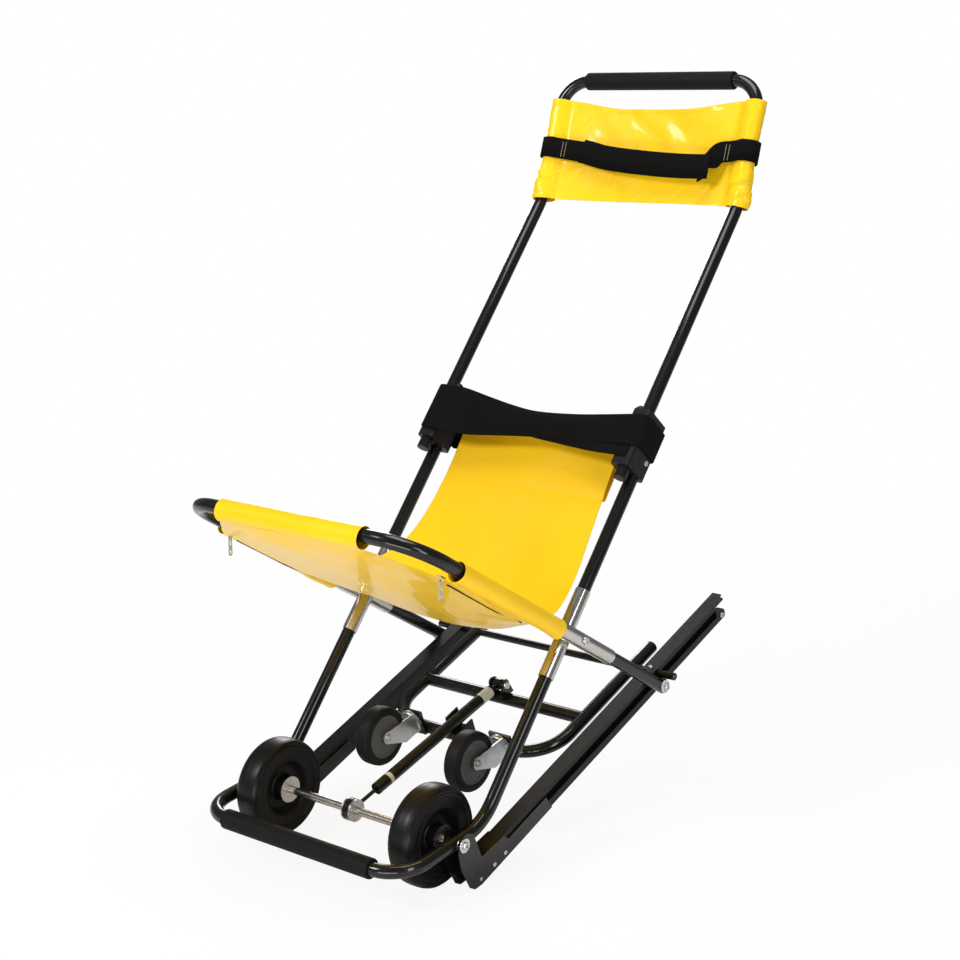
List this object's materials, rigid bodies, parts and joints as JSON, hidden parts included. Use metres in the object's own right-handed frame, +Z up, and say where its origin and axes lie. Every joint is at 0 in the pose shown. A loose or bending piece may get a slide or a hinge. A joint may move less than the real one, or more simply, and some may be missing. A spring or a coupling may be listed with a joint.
{
  "type": "stair chair",
  "caption": "Folding stair chair with stair rails, big wheels, swing-down casters, a sliding handle frame and a yellow sling seat.",
  "frame": {"origin": "on the floor under the big wheels, midway across the width and midway between the foot bar's front and the top grip's rear", "axes": "+X across the chair to the sitter's left, +Y to the rear, +Z up"},
  "size_m": [0.52, 0.996, 1.2256],
  "materials": {
    "black_paint": "gloss black powder coat",
    "chrome": "bright chrome plate",
    "foam": "matt black foam, slightly pebbled",
    "black_plastic": "black moulded nylon with a low sheen",
    "steel": "bright zinc-plated steel",
    "zinc": "dull zinc plate",
    "axle_steel": "bare turned steel",
    "elastic": "black woven elastic",
    "vinyl": "glossy yellow coated cloth",
    "webbing": "black woven webbing",
    "wheel_plastic": "black moulded plastic",
    "wheel_rubber": "black rubber",
    "caster_plastic": "dark grey moulded plastic",
    "caster_rubber": "dark rubber",
    "rail_aluminium": "black anodised aluminium",
    "belt_rubber": "black ribbed rubber",
    "spacer": "pale nylon"
  },
  "bodies": {
    "main_frame": {"main_frame_tube": "black_paint", "foot_grip": "foam", "leg_sleeves": "chrome", "guide_blocks": "black_plastic", "guide_block_screws": "steel", "back_bar": "black_paint", "seat_pivot_bolts": "steel", "seat_pivot_spacers": "spacer", "axle": "axle_steel", "axle_bolts": "steel", "axle_end_washers": "steel", "axle_washers": "steel", "back_belt": "elastic", "back_sheet": "vinyl"},
    "handle_frame": {"handle_tube": "black_paint", "handle_grip": "foam", "handle_end_caps": "black_plastic", "headrest_panel": "vinyl", "head_strap": "webbing"},
    "seat_frame": {"seat_tube": "black_paint", "seat_sleeves": "chrome", "seat_end_caps": "black_plastic", "rear_pins": "steel", "rear_pin_washers": "spacer", "seat_sheet": "vinyl", "zip_sliders": "zinc"},
    "rail_frame": {"left_rail": "rail_aluminium", "right_rail": "rail_aluminium", "bracket_plates": "black_paint", "bracket_screws": "steel", "stair_belts": "belt_rubber", "roller_pins": "steel", "cross_bar": "black_paint", "cross_bar_screws": "steel"},
    "upper_roller_pair": {"upper_rollers": "black_plastic"},
    "lower_roller_pair": {"lower_rollers": "black_plastic"},
    "caster_frame": {"caster_frame_tube": "black_paint", "caster_brace": "black_paint", "caster_frame_caps": "black_plastic", "strut_bracket": "black_paint", "strut_bolt": "steel", "strut_clip": "black_plastic", "caster_mounts": "black_paint", "caster_stems": "zinc"},
    "strut_piston": {"strut_rod": "black_paint"},
    "strut_barrel": {"strut_cylinder": "black_paint"},
    "left_wheel": {"left_wheel_hub": "wheel_plastic", "left_wheel_tyre": "wheel_rubber"},
    "left_zip": {"left_zip_pull": "zinc"},
    "left_caster_swivel": {"left_caster_fork": "zinc", "left_caster_axle_bolt": "zinc"},
    "left_caster_wheel": {"left_caster_disc": "caster_plastic", "left_caster_tyre": "caster_rubber"},
    "right_wheel": {"right_wheel_hub": "wheel_plastic", "right_wheel_tyre": "wheel_rubber"},
    "right_zip": {"right_zip_pull": "zinc"},
    "right_caster_swivel": {"right_caster_fork": "zinc", "right_caster_axle_bolt": "zinc"},
    "right_caster_wheel": {"right_caster_disc": "caster_plastic", "right_caster_tyre": "caster_rubber"}
  },
  "joints": [
    {"name": "handle_slide", "type": "slide", "parent": "main_frame", "child": "handle_frame", "axis": [0, -0.6347, -0.7727], "range_m": [0, 0.2]},
    {"name": "seat_fold", "type": "hinge", "parent": "main_frame", "child": "seat_frame", "pos_m": [0, -0.08512, 0.34076], "axis": [-1, 0, 0], "range_deg": [0, 87]},
    {"name": "rail_fold", "type": "hinge", "parent": "main_frame", "child": "rail_frame", "pos_m": [0, -0.3569, 0.08], "axis": [1, 0, 0], "range_deg": [0, 12.2]},
    {"name": "caster_swing", "type": "hinge", "parent": "rail_frame", "child": "caster_frame", "pos_m": [0, 0.16949, 0.21833], "axis": [1, 0, 0], "range_deg": [0, 40]},
    {"name": "strut_rod_turn", "type": "hinge", "parent": "rail_frame", "child": "strut_piston", "pos_m": [0, -0.3569, 0.08], "axis": [1, 0, 0], "range_deg": [-14.1, 0]},
    {"name": "strut_cylinder_turn", "type": "hinge", "parent": "caster_frame", "child": "strut_barrel", "pos_m": [0, 0.01666, 0.19233], "axis": [1, 0, 0], "range_deg": [-54.1, 0]},
    {"name": "upper_roller_spin", "type": "hinge", "parent": "rail_frame", "child": "upper_roller_pair", "pos_m": [0, 0.37217, 0.27631], "axis": [1, 0, 0], "continuous": true},
    {"name": "lower_roller_spin", "type": "hinge", "parent": "rail_frame", "child": "lower_roller_pair", "pos_m": [0, -0.31588, 0.0122], "axis": [1, 0, 0], "continuous": true},
    {"name": "left_wheel_spin", "type": "hinge", "parent": "main_frame", "child": "left_wheel", "pos_m": [-0.162, -0.3569, 0.08], "axis": [1, 0, 0], "continuous": true},
    {"name": "left_zip_swing", "type": "hinge", "parent": "seat_frame", "child": "left_zip", "pos_m": [-0.218, -0.39773, 0.4971], "axis": [1, 0, 0], "range_deg": [-30, 30]},
    {"name": "left_caster_turn", "type": "hinge", "parent": "caster_frame", "child": "left_caster_swivel", "pos_m": [-0.096, -0.10953, 0.13318], "axis": [0, 0.9336, 0.3584], "continuous": true},
    {"name": "left_caster_spin", "type": "hinge", "parent": "left_caster_swivel", "child": "left_caster_wheel", "pos_m": [-0.096, -0.18391, 0.13302], "axis": [1, 0, 0], "continuous": true},
    {"name": "right_wheel_spin", "type": "hinge", "parent": "main_frame", "child": "right_wheel", "pos_m": [0.162, -0.3569, 0.08], "axis": [1, 0, 0], "continuous": true},
    {"name": "right_zip_swing", "type": "hinge", "parent": "seat_frame", "child": "right_zip", "pos_m": [0.218, -0.39773, 0.4971], "axis": [1, 0, 0], "range_deg": [-30, 30]},
    {"name": "right_caster_turn", "type": "hinge", "parent": "caster_frame", "child": "right_caster_swivel", "pos_m": [0.096, -0.10953, 0.13318], "axis": [0, 0.9336, 0.3584], "continuous": true},
    {"name": "right_caster_spin", "type": "hinge", "parent": "right_caster_swivel", "child": "right_caster_wheel", "pos_m": [0.096, -0.18391, 0.13302], "axis": [1, 0, 0], "continuous": true}
  ],
  "couplings": [
    {"joint": "rail_fold", "follows": "seat_fold", "ratio": 0.1394},
    {"joint": "strut_rod_turn", "follows": "caster_swing", "ratio": -0.3506},
    {"joint": "strut_cylinder_turn", "follows": "caster_swing", "ratio": -1.3506}
  ]
}
